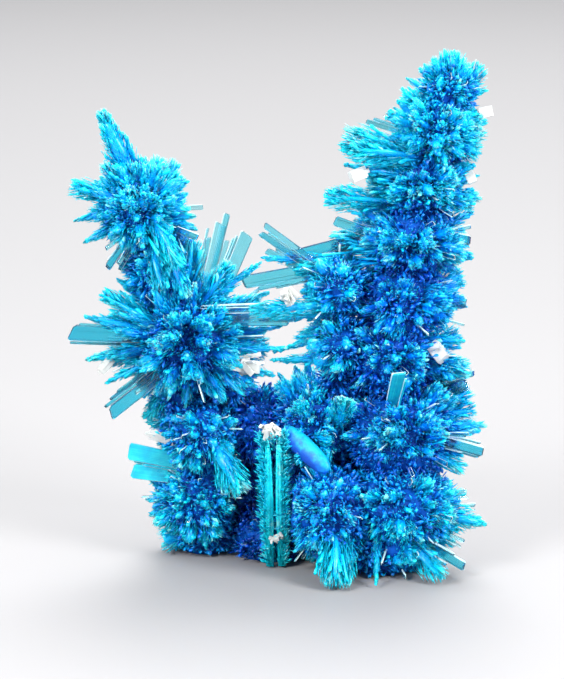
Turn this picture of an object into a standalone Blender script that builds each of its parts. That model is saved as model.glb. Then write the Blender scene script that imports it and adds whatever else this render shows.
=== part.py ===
"""Pentagonite: two branching towers of radiating blue crystals on one base, with small white crystals.

The frame is in metres with +Z up. The origin is on the flat broken underside that the piece rests on.
Places are worked out in millimetres as the photograph shows them, (right, up, away), and turned into
the frame by seen().
"""

import math
import random
from functools import partial

import bmesh
import bpy
from mathutils import Euler, Matrix, Vector

MM = 0.001
SEED = 23
VIEW_ELEVATION = math.radians(12)  # the photograph looks down on the piece by this much
BOX_SIDE = 120 * MM
TOWERS = ("left_tower", "right_tower")
BASE = "base_cluster"

# Hearts: the solid middle of each ball of crystals, with a point drawn out of each of its facets.
# node, centre (right, up, away), radii between the points (x, y, z), radii to the points,
# facet level, upward tilt of the points
HEARTS = (
    (BASE, (11.8, 12.9, -1.0), (5.4, 5.4, 5.4), (8.0, 7.8, 7.2), 2, 0.1),
    (BASE, (11.8, 5.6, -2.6), (5.8, 5.4, 4.8), (8.0, 7.8, 6.4), 2, 0.0),
    (BASE, (5.0, 5.2, -3.6), (4.6, 4.6, 4.6), (6.4, 6.6, 6.4), 2, 0.0),
    (BASE, (3.4, 13.6, 1.2), (4.4, 4.4, 4.6), (5.8, 6.4, 6.4), 2, 0.1),
    (BASE, (6.4, 8.0, 4.2), (5.4, 4.6, 5.6), (7.2, 6.6, 7.2), 1, 0.0),
    (BASE, (-1.2, 7.4, 4.8), (4.6, 4.2, 5.6), (6.0, 6.0, 7.0), 1, 0.0),
    (BASE, (-8.6, 6.4, 3.2), (4.0, 4.2, 4.8), (5.8, 6.0, 6.4), 2, 0.0),
    (BASE, (-8.0, 13.0, 2.0), (3.9, 4.0, 4.2), (5.9, 6.0, 5.4), 2, 0.1),
    (BASE, (-2.4, 13.8, 2.4), (3.2, 3.4, 3.8), (4.8, 4.8, 5.0), 1, 0.0),
    (BASE, (-7.8, 3.0, 4.4), (3.8, 3.4, 3.4), (5.2, 4.8, 4.4), 1, 0.0),
    (BASE, (-0.8, 2.2, 2.6), (4.3, 4.4, 3.6), (5.4, 5.0, 4.6), 1, 0.0),
    (BASE, (10.4, 2.0, -1.6), (5.8, 5.6, 3.6), (7.0, 6.8, 4.4), 1, 0.0),
    ("left_tower", (-9.4, 22.4, 1.0), (4.8, 4.5, 5.0), (9.0, 7.8, 8.4), 2, 0.0),
    ("left_tower", (-12.2, 29.8, 1.5), (2.9, 2.8, 4.6), (4.2, 4.1, 5.2), 1, 0.0),
    ("left_tower", (-14.2, 35.2, 1.5), (3.2, 3.1, 3.7), (6.1, 5.6, 5.9), 2, 0.1),
    ("right_tower", (11.0, 20.6, 0.0), (4.6, 4.3, 4.4), (7.6, 7.0, 6.0), 2, 0.1),
    ("right_tower", (6.0, 22.0, -0.8), (2.6, 2.8, 2.8), (4.8, 4.8, 4.4), 1, 0.0),
    ("right_tower", (12.0, 26.4, 0.2), (4.1, 4.0, 4.2), (7.1, 6.7, 6.0), 2, 0.12),
    ("right_tower", (5.6, 27.6, -0.4), (2.8, 2.8, 3.0), (5.2, 4.8, 4.8), 1, 0.0),
    ("right_tower", (12.9, 32.0, 0.4), (3.8, 3.8, 4.0), (6.7, 6.4, 5.8), 2, 0.15),
    ("right_tower", (14.0, 37.4, 0.5), (3.4, 3.5, 3.8), (6.3, 6.0, 5.4), 2, 0.15),
    ("right_tower", (15.2, 42.6, 0.5), (3.0, 3.1, 3.6), (5.6, 5.4, 5.0), 2, 0.15),
    ("right_tower", (16.4, 46.8, 0.5), (2.2, 2.3, 2.6), (4.2, 4.2, 4.2), 1, 0.15),
)

# Crystals that the photograph shows one by one.
# node, form, root (right, up, away), tip (right, up, away), width, thickness
CHOSEN = (
    # left tower, upper ball
    ("left_tower", "spire", (-14.0, 36.4, 1.4), (-18.0, 45.2, 0.8), 4.0, 2.8),
    ("left_tower", "fan", (-14.6, 36.2, 1.0), (-21.2, 37.6, 0.4), 2.6, 1.6),
    ("left_tower", "spike", (-14.6, 35.8, 1.0), (-20.8, 34.2, 0.4), 1.9, 1.4),
    ("left_tower", "spike", (-14.4, 35.0, 1.0), (-19.9, 32.0, 0.6), 1.7, 1.3),
    ("left_tower", "fan", (-14.0, 36.0, 1.0), (-11.8, 40.6, 1.0), 2.4, 1.6),
    ("left_tower", "spike", (-14.0, 35.8, 0.8), (-9.1, 38.2, 0.2), 1.8, 1.3),
    ("left_tower", "blade", (-13.0, 35.3, 0.2), (-7.8, 35.6, -0.2), 0.5, 0.4),
    ("left_tower", "spike", (-14.0, 34.8, 0.6), (-8.6, 33.8, 0.0), 1.6, 1.2),
    ("left_tower", "blade", (-13.6, 34.4, 0.4), (-8.4, 32.3, -0.4), 1.2, 0.6),
    ("left_tower", "blade", (-14.2, 33.6, 1.0), (-17.1, 29.2, 0.6), 1.5, 0.9),
    ("left_tower", "fan", (-13.4, 35.4, -0.4), (-9.9, 29.3, -4.4), 2.6, 1.4),
    ("left_tower", "fan", (-13.4, 35.8, 0.2), (-12.8, 36.6, -4.2), 2.2, 1.4),
    # left tower, lower ball
    ("left_tower", "fan", (-10.6, 22.8, -0.6), (-18.1, 27.1, -2.0), 2.5, 1.5),
    ("left_tower", "blade", (-11.6, 22.6, 0.2), (-21.5, 23.1, -0.2), 1.8, 0.9),
    ("left_tower", "spike", (-10.4, 22.2, 0.6), (-19.8, 20.4, 0.4), 2.8, 1.8),
    ("left_tower", "spike", (-10.4, 21.6, 0.0), (-17.8, 18.0, -1.0), 1.9, 1.3),
    ("left_tower", "blade", (-10.2, 20.8, -0.4), (-17.6, 15.1, -1.2), 1.8, 1.0),
    ("left_tower", "fan", (-9.8, 20.4, 1.0), (-13.8, 14.2, 0.8), 2.0, 1.4),
    ("left_tower", "spike", (-10.0, 24.0, 0.6), (-16.6, 28.6, 0.6), 2.6, 1.8),
    ("left_tower", "blade", (-8.4, 25.4, 0.8), (-6.3, 34.2, 0.6), 1.6, 0.6),
    ("left_tower", "blade", (-7.6, 25.6, 1.6), (-5.2, 35.0, 1.6), 1.1, 0.6),
    ("left_tower", "blade", (-7.0, 25.2, 0.6), (-3.6, 33.2, 0.2), 1.7, 0.6),
    ("left_tower", "spike", (-8.6, 25.6, -0.8), (-1.9, 30.2, -1.6), 2.0, 1.4),
    ("left_tower", "blade", (-8.0, 24.8, -1.6), (1.3, 24.9, -3.0), 2.1, 0.7),
    ("left_tower", "spike", (-7.6, 22.4, 0.0), (0.1, 23.8, 0.2), 1.6, 1.2),
    ("left_tower", "spike", (-8.0, 24.6, 0.4), (-1.2, 27.2, 0.6), 2.2, 1.6),
    ("left_tower", "spike", (-7.8, 20.6, -0.4), (-0.6, 18.8, -1.6), 2.4, 1.8),
    ("left_tower", "fan", (-9.4, 24.0, -0.4), (-5.0, 30.2, -2.4), 2.6, 1.6),
    ("left_tower", "fan", (-9.8, 26.0, 0.6), (-8.8, 32.6, 0.4), 3.0, 1.8),
    ("left_tower", "spike", (-10.6, 22.6, -0.4), (-19.8, 24.8, -0.6), 2.8, 1.8),
    ("left_tower", "spike", (-7.6, 21.4, -0.8), (0.6, 21.6, -1.6), 1.5, 1.0),
    ("left_tower", "fan", (-8.6, 23.4, -1.6), (-7.4, 24.0, -7.0), 2.4, 1.5),
    ("left_tower", "fan", (-10.2, 22.8, -1.4), (-11.2, 22.6, -7.2), 2.2, 1.5),
    ("left_tower", "fan", (-9.2, 20.6, -1.4), (-8.8, 18.6, -7.0), 2.2, 1.5),
    # left base and the pillar in front
    (BASE, "plate", (-8.8, 8.0, 1.6), (-15.6, 10.5, 0.4), 3.2, 1.4),
    (BASE, "spike", (-8.8, 6.4, 3.0), (-13.6, 8.2, 2.0), 1.7, 1.3),
    (BASE, "spike", (-8.8, 5.4, 3.4), (-13.2, 5.6, 2.6), 1.8, 1.3),
    (BASE, "spike", (-8.8, 4.8, 3.6), (-11.6, 3.0, 3.2), 1.6, 1.3),
    (BASE, "fan", (-8.0, 14.4, 0.4), (-3.9, 6.9, -5.2), 3.8, 1.8),
    (BASE, "pillar", (-0.6, -0.6, -2.2), (-0.9, 13.3, -3.2), 3.0, 2.0),
    (BASE, "spike", (-0.8, 8.0, 2.4), (-0.8, 8.4, -2.6), 2.4, 1.8),
    (BASE, "spike", (-0.6, 4.6, 2.4), (-0.6, 3.4, -2.4), 2.2, 1.8),
    # right base
    (BASE, "spindle", (2.2, 13.6, -2.0), (4.7, 9.2, -6.8), 2.4, 1.8),
    (BASE, "tuft", (3.0, 14.2, -1.0), (1.5, 16.4, -4.6), 2.8, 1.8),
    (BASE, "fan", (5.4, 13.6, -2.0), (6.2, 16.8, -6.4), 3.0, 1.6),
    (BASE, "plate", (11.4, 14.6, -3.4), (10.9, 17.4, -8.0), 1.7, 1.0),
    (BASE, "spike", (11.4, 12.9, -3.0), (10.4, 13.6, -9.4), 3.8, 3.0),
    (BASE, "spike", (13.0, 12.6, -2.4), (16.4, 13.2, -8.0), 3.4, 2.6),
    (BASE, "spike", (13.2, 13.6, -2.0), (20.5, 13.9, -2.8), 2.6, 1.8),
    (BASE, "blade", (13.4, 13.2, -2.6), (20.1, 11.3, -3.6), 1.5, 0.9),
    (BASE, "fan", (13.2, 11.6, -3.0), (18.4, 9.5, -5.2), 2.0, 1.4),
    (BASE, "spike", (12.8, 5.6, -3.4), (20.5, 4.0, -4.6), 3.6, 2.4),
    (BASE, "spike", (12.8, 4.4, -3.6), (17.4, 2.2, -4.6), 1.3, 1.0),
    (BASE, "blade", (12.4, 3.0, -5.0), (18.1, -0.3, -7.0), 1.4, 1.0),
    (BASE, "fan", (11.8, 3.6, -5.4), (16.0, -1.4, -9.0), 3.0, 1.8),
    (BASE, "spike", (9.6, 3.4, -6.0), (9.2, -1.8, -10.0), 1.2, 1.0),
    (BASE, "fan", (5.6, 4.4, -6.0), (5.2, -2.0, -11.2), 4.2, 2.2),
    (BASE, "fan", (12.8, 13.6, -0.4), (19.0, 17.6, -1.6), 2.8, 1.8),
    (BASE, "fan", (12.8, 14.6, -1.0), (19.6, 15.4, -1.6), 2.8, 1.8),
    # right tower, from the fork up
    ("right_tower", "spike", (9.6, 20.8, -1.0), (-1.3, 20.4, -0.2), 1.8, 1.2),
    ("right_tower", "spike", (9.4, 24.6, -0.8), (-2.4, 23.4, -1.8), 1.7, 1.1),
    ("right_tower", "fan", (9.8, 26.4, -0.8), (-3.4, 25.2, -4.6), 2.4, 1.3),
    ("right_tower", "spike", (9.8, 28.0, -0.4), (1.8, 27.0, -1.2), 2.0, 1.4),
    ("right_tower", "arm", (11.2, 30.4, -0.2), (1.0, 29.4, -1.0), 3.6, 2.6),
    ("right_tower", "blade", (4.8, 28.6, -1.0), (-2.1, 33.5, -0.8), 1.4, 0.7),
    ("right_tower", "blade", (4.4, 28.8, -0.2), (-1.6, 31.4, 0.2), 1.3, 0.7),
    ("right_tower", "blade", (5.0, 29.6, -0.6), (-4.0, 27.9, 0.4), 1.7, 0.6),
    ("right_tower", "blade", (10.4, 33.0, 0.2), (0.8, 30.4, -0.2), 1.5, 0.7),
    ("right_tower", "spike", (3.4, 29.0, -1.0), (2.6, 25.6, -2.4), 1.6, 1.2),
    ("right_tower", "spike", (6.0, 30.0, -0.4), (-2.2, 30.6, -0.6), 2.0, 1.4),
    ("right_tower", "fan", (11.0, 32.4, 0.4), (4.6, 32.0, 0.2), 3.2, 1.8),
    ("right_tower", "blade", (11.4, 32.2, 0.0), (5.2, 34.4, -0.4), 1.2, 0.6),
    ("right_tower", "fan", (12.2, 36.0, -0.6), (4.0, 36.5, -1.6), 3.0, 1.5),
    ("right_tower", "fan", (13.4, 40.0, -1.2), (5.6, 42.2, -3.2), 4.2, 1.8),
    ("right_tower", "blade", (13.8, 42.4, 0.0), (8.3, 44.1, -0.2), 0.8, 0.6),
    ("right_tower", "spike", (14.4, 42.6, 0.2), (10.2, 44.8, 0.0), 1.6, 1.2),
    ("right_tower", "fan", (15.2, 44.6, -0.2), (11.6, 46.8, -1.0), 2.4, 1.5),
    ("right_tower", "spike", (16.0, 46.0, 0.2), (12.1, 48.2, -0.2), 1.6, 1.2),
    ("right_tower", "spike", (16.2, 46.4, 0.4), (13.9, 49.6, 0.2), 1.8, 1.4),
    ("right_tower", "fan", (16.4, 46.0, 0.2), (16.8, 51.0, -0.4), 3.0, 1.8),
    ("right_tower", "spike", (16.0, 44.0, 0.2), (20.2, 44.9, -0.3), 2.0, 1.5),
    ("right_tower", "spike", (13.6, 38.2, -1.0), (6.0, 39.6, -2.5), 2.0, 1.5),
    ("right_tower", "plate", (16.8, 46.0, 0.6), (19.6, 49.4, 0.6), 2.0, 1.2),
    ("right_tower", "spike", (16.4, 46.2, 0.2), (20.3, 47.0, 0.2), 1.6, 1.2),
    ("right_tower", "fan", (15.6, 42.6, 0.2), (20.4, 42.7, -0.2), 1.8, 1.3),
    ("right_tower", "spike", (14.8, 39.6, 0.2), (19.2, 39.6, -0.4), 1.8, 1.4),
    ("right_tower", "fan", (14.0, 36.4, 0.0), (19.2, 35.8, -0.6), 2.6, 1.6),
    ("right_tower", "plate", (13.2, 33.0, 0.2), (18.7, 31.8, 0.0), 1.9, 1.2),
    ("right_tower", "spike", (12.4, 27.0, 0.2), (18.4, 25.8, -0.4), 1.6, 1.2),
    ("right_tower", "spike", (11.8, 22.6, -0.4), (18.3, 22.3, -1.4), 2.4, 1.8),
    ("right_tower", "fan", (12.0, 19.8, -1.0), (18.9, 19.6, -2.4), 2.8, 1.8),
)

# White crystals of a second mineral, each seated in a pocket.
# name, foot (right, up, away), tip (right, up, away), width
WHITE = (
    ("white_crystal_top", (19.3, 44.7, -0.3), (20.9, 45.1, -0.4), 1.3),
    ("white_crystal_upper", (8.3, 39.0, -2.2), (6.6, 38.3, -3.2), 1.1),
    ("white_crystal_side", (18.3, 39.3, -0.5), (18.8, 37.8, -1.0), 0.9),
    ("white_crystal_bridge", (0.8, 25.8, -3.6), (0.2, 27.3, -4.2), 1.3),
    ("white_crystal_shoulder", (14.8, 22.0, -1.6), (16.2, 20.4, -3.0), 1.3),
    ("white_crystal_fork", (-6.0, 20.4, -0.8), (-2.0, 19.6, -2.2), 1.6),
    ("white_crystal_edge", (-17.0, 20.6, 0.0), (-18.2, 19.2, -0.6), 0.9),
    ("white_crystal_pillar", (-1.0, 12.8, -3.6), (-1.4, 13.9, -4.6), 1.4),
    ("white_crystal_foot", (-0.6, 2.8, -3.0), (-0.5, 2.3, -4.0), 0.9),
    ("white_crystal_left", (-10.8, 12.4, 1.2), (-14.0, 13.0, 0.6), 1.2),
)

# Sides of each form, and its width and thickness along it as shares of the full ones:
# (share of the length, width, thickness).
FORMS = {
    "spire": (4, ((0.0, 0.7, 0.8), (0.3, 1.0, 1.0), (0.62, 0.68, 0.6), (1.0, 0.26, 0.3))),
    "spike": (4, ((0.0, 0.8, 0.9), (0.45, 1.0, 1.0), (1.0, 0.0, 0.0))),
    "fan": (4, ((0.0, 0.5, 0.8), (0.78, 1.0, 1.0), (1.0, 0.62, 0.4))),
    "tuft": (4, ((0.0, 0.4, 0.5), (0.7, 1.0, 1.0), (1.0, 0.5, 0.5))),
    "blade": (4, ((0.0, 0.8, 1.0), (0.9, 1.0, 1.0), (1.0, 0.5, 0.5))),
    "plate": (4, ((0.0, 0.7, 1.0), (0.94, 1.0, 1.0), (1.0, 0.86, 0.6))),
    "spindle": (6, ((0.0, 0.4, 0.5), (0.5, 1.0, 1.0), (0.84, 0.8, 0.8), (1.0, 0.3, 0.4))),
    "pillar": (6, ((0.0, 0.6, 0.7), (0.2, 0.7, 0.8), (0.3, 1.0, 1.0), (0.96, 1.0, 1.0), (1.0, 0.7, 0.6))),
    "white": (4, ((0.0, 0.9, 0.9), (0.8, 1.0, 1.0), (1.0, 0.45, 0.9))),
    "arm": (4, ((0.0, 1.0, 1.0), (0.6, 0.8, 0.8), (1.0, 0.5, 0.6))),
}
POINT_RANGE = (0.72, 1.06)  # how far the points of a heart reach, as a share of its radii to the points
POINT_LEAN = 0.12  # how far a point leans off the line from the heart's centre
SHORT_POINT = 1.0  # of the radii between the points, where there is no room for a long one
CROWDED = 0.9  # a point is held back where it would come this far into another heart's points
ROOT_DEPTH = 0.72  # how far out in its heart a crystal starts
CLEARANCE = 0.3  # between two nodes, in mm
POCKET_PLAY = 0.12  # round a white crystal in its pocket, in mm
LOWEST_TIP = 0.3  # above the surface that the piece rests on, in mm
WHITE_THICKNESS = 0.6  # of the width

BLUES = {BASE: (0.0, 0.24, 0.58), "left_tower": (0.0, 0.34, 0.66), "right_tower": (0.0, 0.29, 0.64)}
BLUE_ROUGHNESS = 0.25
WHITE_COLOUR = (0.84, 0.86, 0.80)
WHITE_ROUGHNESS = 0.35


def seen(right, up, away):
    """The point in the frame, in mm, that is seen this far right of, above and behind the origin."""
    return Vector((right, away, (up - away * math.sin(VIEW_ELEVATION)) / math.cos(VIEW_ELEVATION)))


def scaled(vector, radii):
    """A vector stretched by three radii."""
    return Vector((a * b for a, b in zip(vector, radii)))


def inside(point, centre, radii):
    """How far out a point is in an ellipsoid: 0 at its centre, 1 on its surface."""
    return Vector((a / b for a, b in zip(point - centre, radii))).length


def hearts_of(node):
    """The hearts of a node as (centre, radii) in mm in the frame."""
    return [(seen(*centre), core) for owner, centre, core, _, _, _ in HEARTS if owner == node]


def outer_root(root, tip, hearts):
    """The first point from root to tip that isn't deep in a heart, so that few crystals meet inside."""
    steps = 20
    for i in range(steps):
        point = root.lerp(tip, i / steps)
        if min(inside(point, centre, core) for centre, core in hearts) >= ROOT_DEPTH:
            return point
    return root


def chosen_crystals():
    """The crystals of CHOSEN as dictionaries in mm in the frame."""
    for node, form, root, tip, width, thickness in CHOSEN:
        start = outer_root(seen(*root), seen(*tip), hearts_of(node))
        yield {"node": node, "form": form, "root": start, "tip": seen(*tip),
               "width": width, "thickness": thickness}


def white_crystals():
    """The crystals of WHITE as dictionaries in mm in the frame, by name."""
    return {name: {"form": "white", "root": seen(*foot), "tip": seen(*tip), "width": width,
                   "thickness": width * WHITE_THICKNESS} for name, foot, tip, width in WHITE}


def placing(root, tip):
    """The matrix that stands a shape's +Z on the line from root to tip, with its width facing the viewer."""
    axis = (tip - root).normalized()
    side = axis.cross(Vector((0, 1, 0)))
    if side.length < 0.3:
        side = axis.cross(Vector((0, 0, 1)))
    side.normalize()
    turn = Matrix((side, axis.cross(side), axis)).transposed()
    return Matrix.Translation(root) @ turn.to_4x4()


def add_crystal(bm, crystal, grow=0.0):
    """Adds a flat-faced crystal to a bmesh, in metres, from a prism whose end is drawn out ring by ring."""
    sides, rings = FORMS[crystal["form"]]
    length = (crystal["tip"] - crystal["root"]).length + grow
    width = crystal["width"] / 2 + grow
    thickness = crystal["thickness"] / 2 + grow
    verts = set(bmesh.ops.create_cone(
        bm, cap_ends=True, segments=sides, radius1=1, radius2=1, depth=1)["verts"])
    caps = {f for v in verts for f in v.link_faces if abs(f.normal.z) > 0.9}
    bottom, top = sorted(caps, key=lambda f: f.calc_center_median().z)
    first, second = rings[:2]
    for face, ring in ((bottom, first), (top, second)):
        for v in face.verts:
            v.co = Vector((v.co.x * width * ring[1], v.co.y * thickness * ring[2], ring[0] * length))
    for before, ring in zip(rings[1:], rings[2:]):
        top = bmesh.ops.extrude_discrete_faces(bm, faces=[top])["faces"][0]
        for v in top.verts:
            v.co.x *= ring[1] / before[1]
            v.co.y *= ring[2] / before[2]
            v.co.z = ring[0] * length
        verts.update(top.verts)
    if rings[-1][1] == 0:
        bmesh.ops.pointmerge(bm, verts=list(top.verts), merge_co=Vector((0, 0, length)))
        verts = {v for v in verts if v.is_valid}
    matrix = Matrix.Scale(MM, 4) @ placing(crystal["root"], crystal["tip"])
    bmesh.ops.transform(bm, matrix=matrix, verts=list(verts))


def has_room(number, point):
    """False if a point of this heart would reach below the surface, or in among another heart's points."""
    if point.z < LOWEST_TIP:
        return False
    return not any(inside(point, seen(*heart[1]), heart[3]) < CROWDED
                   for i, heart in enumerate(HEARTS) if i != number)


def add_heart(bm, number, grow=0.0):
    """Adds a heart to a bmesh, in metres: an ellipsoid of flat facets, each drawn out to a point."""
    _, middle, core, reach, level, tilt = HEARTS[number]
    centre = seen(*middle)
    chance = random.Random(SEED + number)
    turn = Euler([chance.uniform(0, math.pi) for _ in range(3)]).to_matrix().to_4x4()
    shell = bmesh.ops.create_icosphere(bm, subdivisions=level, radius=1, matrix=turn)["verts"]
    points = bmesh.ops.poke(bm, faces=bm.faces[:])["verts"]
    for v in points:
        lean = Vector([chance.uniform(-POINT_LEAN, POINT_LEAN) for _ in range(3)])
        way = (v.co.normalized() + lean).normalized()
        v.co = scaled(way, reach) * chance.uniform(*POINT_RANGE)
        v.co.z += tilt * v.co.length
        if not has_room(number, centre + v.co):
            v.co = scaled(way, core) * SHORT_POINT
        v.co += v.co.normalized() * grow
    for v in shell:
        v.co = scaled(v.co, core) + v.co.normalized() * grow
    bmesh.ops.transform(bm, matrix=Matrix.Scale(MM, 4) @ Matrix.Translation(centre), verts=shell + points)


def mesh_object(name, fill, collection):
    """A mesh object that fill(bm) draws, in a collection."""
    bm = bmesh.new()
    fill(bm)
    bmesh.ops.recalc_face_normals(bm, faces=bm.faces)
    mesh = bpy.data.meshes.new(name)
    bm.to_mesh(mesh)
    bm.free()
    made = bpy.data.objects.new(name, mesh)
    collection.objects.link(made)
    return made


def shapes_of(node, crystals, grow=0.0):
    """What draws each heart and crystal of a node, grown outwards by so many mm."""
    own_hearts = [i for i, heart in enumerate(HEARTS) if heart[0] == node]
    shapes = [partial(add_heart, number=i, grow=grow) for i in own_hearts]
    own_crystals = [crystal for crystal in crystals if crystal["node"] == node]
    shapes += [partial(add_crystal, crystal=crystal, grow=grow) for crystal in own_crystals]
    return shapes


def helper_collection(name, shapes, helpers):
    """A hidden collection with one object for each shape."""
    made = bpy.data.collections.new(name)
    helpers.children.link(made)
    for i, shape in enumerate(shapes):
        helper = mesh_object(f"{name}_{i}", shape, made)
        helper.hide_render = True
        helper.display_type = "WIRE"
    return made


def boolean(target, operation, operands):
    """Applies one exact Boolean of a whole collection to an object."""
    modifier = target.modifiers.new(operation.title(), "BOOLEAN")
    modifier.operation = operation
    modifier.operand_type = "COLLECTION"
    modifier.collection = operands
    modifier.solver = "EXACT"
    modifier.use_self = True
    graph = bpy.context.evaluated_depsgraph_get()
    mesh = bpy.data.meshes.new_from_object(target.evaluated_get(graph))
    target.modifiers.clear()
    target.data = mesh


def connected(faces):
    """The sets of faces that are joined by edges."""
    left = set(faces)
    while left:
        body = {left.pop()}
        border = list(body)
        while border:
            pairs = [e.link_faces for e in border.pop().edges if len(e.link_faces) == 2]
            near = {f for pair in pairs for f in pair} & left
            left -= near
            body |= near
            border.extend(near)
        yield body


def keep_largest_body(target):
    """Deletes the chips and cavities that a Boolean leaves, so that one body stays."""
    bm = bmesh.new()
    bm.from_mesh(target.data)

    def enclosed(body):
        return sum(f.calc_area() * f.normal.dot(f.calc_center_median()) for f in body)

    bodies = sorted(connected(bm.faces), key=enclosed)
    for body in bodies[:-1]:
        bmesh.ops.delete(bm, geom=list(body), context="FACES")
    bm.to_mesh(target.data)
    bm.free()


def fused(name, shapes, parts, helpers):
    """One object fused from the shapes, the first of which is its largest lump."""
    made = mesh_object(name, shapes[0], parts)
    boolean(made, "UNION", helper_collection(name + "_shapes", shapes[1:], helpers))
    keep_largest_body(made)
    return made


def add_floor_cutter(bm):
    """Adds the block whose top is the surface that the piece rests on."""
    bmesh.ops.create_cube(bm, size=BOX_SIDE, matrix=Matrix.Translation((0, 0, -BOX_SIDE / 2)))


def give_material(target, name, colour, roughness):
    """Gives an object its own Principled material."""
    material = bpy.data.materials.new(name)
    material.use_nodes = True
    shader = material.node_tree.nodes["Principled BSDF"]
    shader.inputs["Base Color"].default_value = (*colour, 1)
    shader.inputs["Roughness"].default_value = roughness
    shader.inputs["Metallic"].default_value = 0
    target.data.materials.clear()
    target.data.materials.append(material)


def main():
    for old in list(bpy.data.objects):
        bpy.data.objects.remove(old)
    parts = bpy.data.collections.new("Pentagonite")
    helpers = bpy.data.collections.new("Cutters")
    helpers.hide_render = True
    for collection in (parts, helpers):
        bpy.context.scene.collection.children.link(collection)

    crystals = list(chosen_crystals())
    whites = white_crystals()
    floor = helper_collection("floor", [add_floor_cutter], helpers)
    pockets = [partial(add_crystal, crystal=white, grow=POCKET_PLAY) for white in whites.values()]
    pocket_cutters = helper_collection("pockets", pockets, helpers)

    nodes = []
    for node in (BASE, *TOWERS):
        made = fused(node, shapes_of(node, crystals), parts, helpers)
        if node == BASE:
            boolean(made, "DIFFERENCE", floor)
        for earlier in nodes:
            cutters = shapes_of(earlier, crystals, CLEARANCE)
            boolean(made, "DIFFERENCE", helper_collection(f"{node}_seat", cutters, helpers))
        boolean(made, "DIFFERENCE", pocket_cutters)
        keep_largest_body(made)
        give_material(made, node, BLUES[node], BLUE_ROUGHNESS)
        nodes.append(node)

    for name, white in whites.items():
        made = mesh_object(name, partial(add_crystal, crystal=white), parts)
        give_material(made, name, WHITE_COLOUR, WHITE_ROUGHNESS)


main()
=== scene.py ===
"""The looks of the pentagonite specimen: sprays of fine blue blades on dark hearts, clear blades and light.

Places are worked out in millimetres as the photograph shows them, (right, up, away), as the model does,
and turned into the frame, in metres, by seen() and MM.
"""

import math
import random
from collections import namedtuple

import bmesh
import bpy
import numpy as np
from mathutils import Euler, Matrix, Vector, noise

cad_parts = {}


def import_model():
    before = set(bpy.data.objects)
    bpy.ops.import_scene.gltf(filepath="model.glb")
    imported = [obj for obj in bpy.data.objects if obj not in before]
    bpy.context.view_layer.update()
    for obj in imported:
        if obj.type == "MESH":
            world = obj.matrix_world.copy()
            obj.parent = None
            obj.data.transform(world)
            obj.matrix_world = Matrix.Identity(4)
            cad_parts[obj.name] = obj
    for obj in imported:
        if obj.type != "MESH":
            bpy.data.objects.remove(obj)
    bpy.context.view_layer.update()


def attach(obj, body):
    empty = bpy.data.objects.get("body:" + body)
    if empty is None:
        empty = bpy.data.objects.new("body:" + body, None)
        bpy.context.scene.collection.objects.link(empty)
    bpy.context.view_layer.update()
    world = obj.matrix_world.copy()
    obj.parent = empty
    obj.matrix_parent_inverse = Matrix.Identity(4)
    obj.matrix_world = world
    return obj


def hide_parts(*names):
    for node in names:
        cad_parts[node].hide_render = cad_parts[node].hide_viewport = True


MM = 0.001
SEED = 23
VIEW_ELEVATION = math.radians(12)
BASE, LEFT, RIGHT = "base_cluster", "left_tower", "right_tower"

Heart = namedtuple("Heart", "node middle core reach level tilt tone")
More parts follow.
